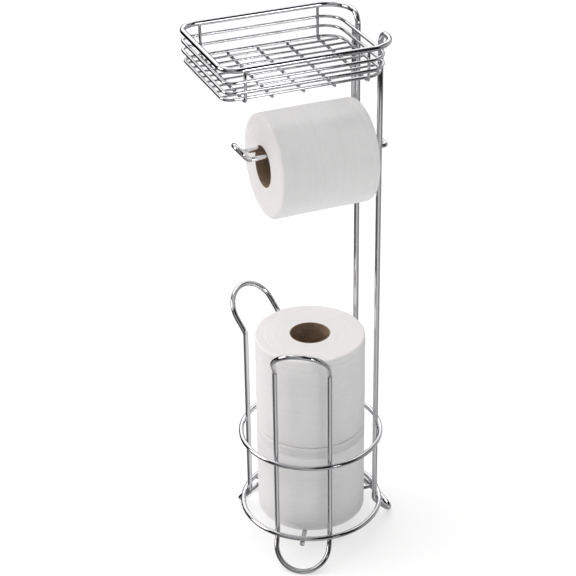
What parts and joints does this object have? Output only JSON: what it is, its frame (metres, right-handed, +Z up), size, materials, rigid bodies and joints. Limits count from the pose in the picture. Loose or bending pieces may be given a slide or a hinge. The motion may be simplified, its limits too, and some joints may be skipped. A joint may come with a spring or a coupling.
{
  "type": "toilet paper holder",
  "caption": "Freestanding chrome wire toilet paper holder with a shelf basket on top, an arm with a hanging roll and a cage below for spare rolls.",
  "frame": {"origin": "the point of the floor under the middle of the round cage", "axes": "+Z up, +X from the cage's middle to the pair of uprights, so the basket reaches over -X and the hanging roll's axis is along X"},
  "size_m": [0.2016, 0.173, 0.5731],
  "materials": {
    "chrome_wire": "polished",
    "tissue": "matte",
    "core_board": "matte"
  },
  "bodies": {
    "stand": {"frame_wire": "chrome_wire", "front_loop": "chrome_wire", "left_loop": "chrome_wire", "upper_ring": "chrome_wire", "lower_ring": "chrome_wire", "base_bent_wire": "chrome_wire", "base_spoke": "chrome_wire", "roll_arm": "chrome_wire", "tray_ring_top": "chrome_wire", "tray_ring_middle": "chrome_wire", "tray_ring_floor": "chrome_wire", "hoop_left": "chrome_wire", "hoop_right": "chrome_wire", "cross_left": "chrome_wire", "cross_middle": "chrome_wire", "cross_right": "chrome_wire", "slat_1": "chrome_wire", "slat_2": "chrome_wire", "slat_3": "chrome_wire", "slat_4": "chrome_wire", "slat_5": "chrome_wire", "slat_6": "chrome_wire", "slat_7": "chrome_wire", "slat_8": "chrome_wire"},
    "hanging_roll": {"hanging_paper": "tissue", "hanging_core": "core_board"},
    "lower_reserve_roll": {"lower_reserve_paper": "tissue", "lower_reserve_core": "core_board"},
    "upper_reserve_roll": {"upper_reserve_paper": "tissue", "upper_reserve_core": "core_board"}
  },
  "joints": [
    {"name": "hanging_roll_turn", "type": "hinge", "parent": "stand", "child": "hanging_roll", "pos_m": [0, 0, 0.4405], "axis": [1, 0, 0], "continuous": true},
    {"name": "lower_reserve_lift", "type": "slide", "parent": "stand", "child": "lower_reserve_roll", "axis": [0, 0, 1], "range_m": [0, 0.035]},
    {"name": "upper_reserve_lift", "type": "slide", "parent": "lower_reserve_roll", "child": "upper_reserve_roll", "axis": [0, 0, 1], "range_m": [0, 0.108]}
  ]
}
